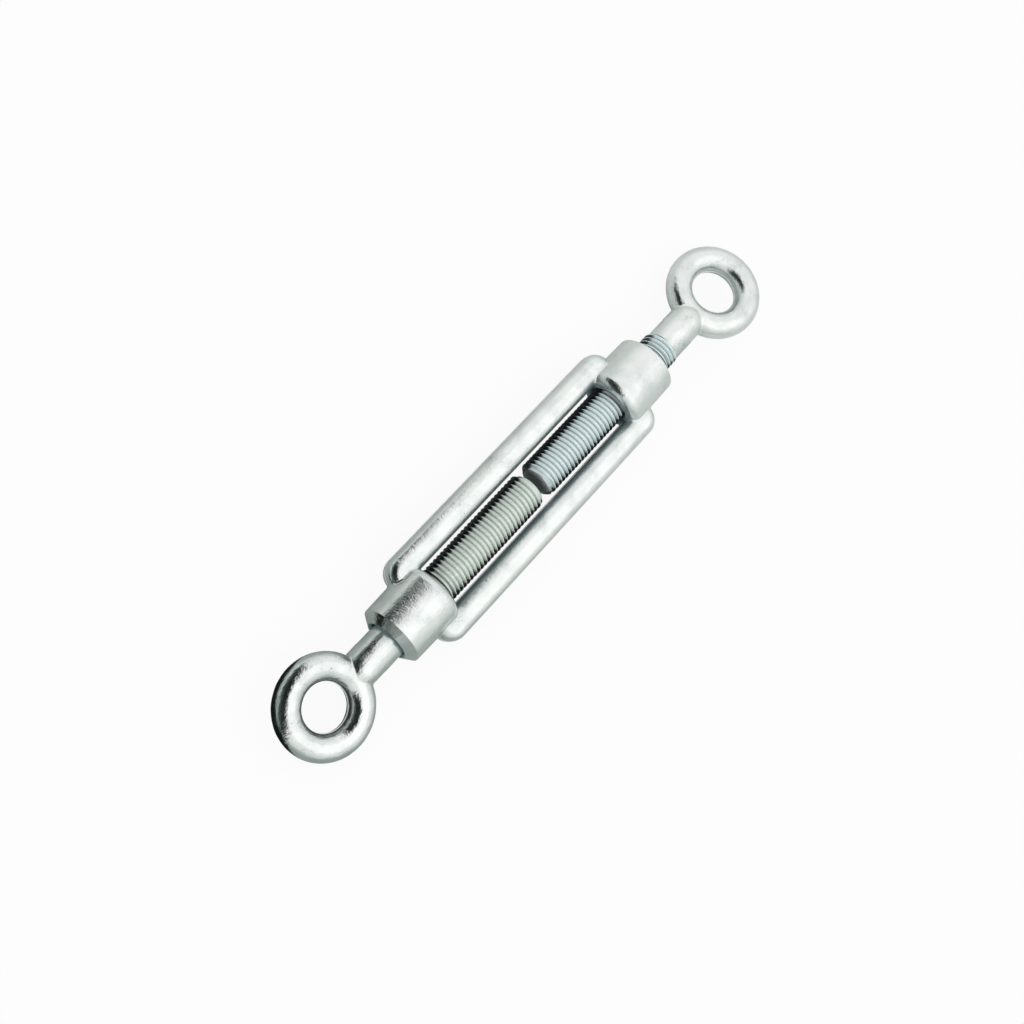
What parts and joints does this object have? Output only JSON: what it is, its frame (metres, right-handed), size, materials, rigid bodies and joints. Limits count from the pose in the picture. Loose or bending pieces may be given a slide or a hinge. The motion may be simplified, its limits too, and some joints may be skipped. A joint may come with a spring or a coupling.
{
  "type": "eye and eye turnbuckle",
  "caption": "Open-frame rigging turnbuckle in zinc-plated steel with a forged ring eye screwed into each end.",
  "frame": {"origin": "on the screw axis, midway between the centres of the two eyes", "axes": "+X along the screw axis towards the right-hand eye, +Y across the two rails, +Z square to the window between the rails"},
  "size_m": [0.348, 0.0499, 0.0334],
  "materials": {
    "zinc_plated_forging": "bright zinc plating over a forged surface",
    "zinc_plated_bolt": "bright zinc plating, threads rolled"
  },
  "bodies": {
    "frame": {"turnbuckle_body": "zinc_plated_forging"},
    "left_bolt": {"left_hand_eye_bolt": "zinc_plated_bolt"},
    "right_bolt": {"right_hand_eye_bolt": "zinc_plated_bolt"}
  },
  "joints": [
    {"name": "left_hand_screw", "type": "slide", "parent": "frame", "child": "left_bolt", "axis": [-1, 0, 0], "range_m": [0, 0.0675]},
    {"name": "right_hand_screw", "type": "slide", "parent": "frame", "child": "right_bolt", "axis": [1, 0, 0], "range_m": [-0.005, 0.055]}
  ]
}
